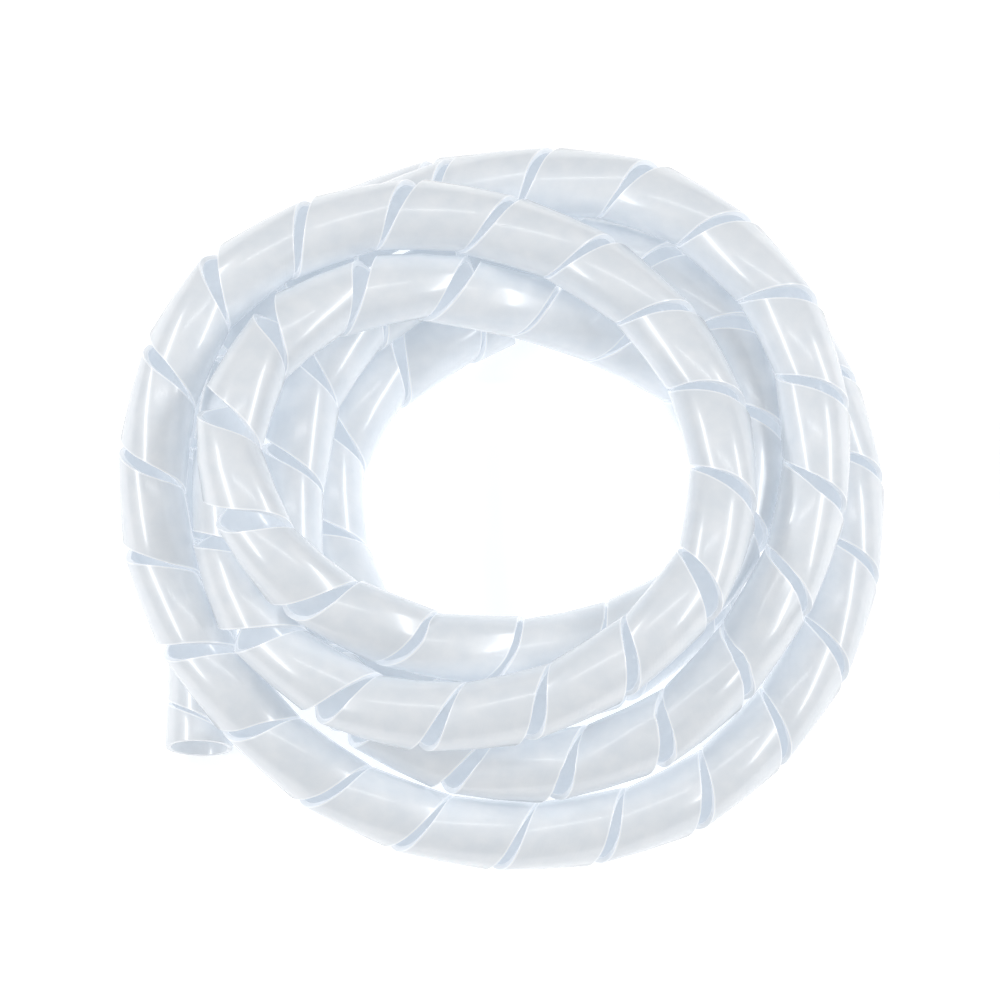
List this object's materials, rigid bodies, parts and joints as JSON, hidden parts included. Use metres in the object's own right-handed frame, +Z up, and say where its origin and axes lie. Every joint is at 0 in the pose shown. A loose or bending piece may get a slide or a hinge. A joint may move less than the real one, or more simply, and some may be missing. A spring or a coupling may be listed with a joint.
{
  "type": "spiral cable wrap",
  "caption": "Flexible plastic strip cut as a helix, wound round a bundle of cables to hold and guard it; sold as a loose flat coil.",
  "frame": {"origin": "on the floor, under the middle of the coil's box", "axes": "+Z up, across the flat-lying coil; +X along the coil's longest extent; the outer free end points along -Y"},
  "size_m": [0.1338, 0.1302, 0.0408],
  "materials": {
    "natural_polyethylene": "milky, translucent, satin to gloss"
  },
  "bodies": {
    "root": {"spiral_wrap_strip": "natural_polyethylene"}
  },
  "joints": []
}
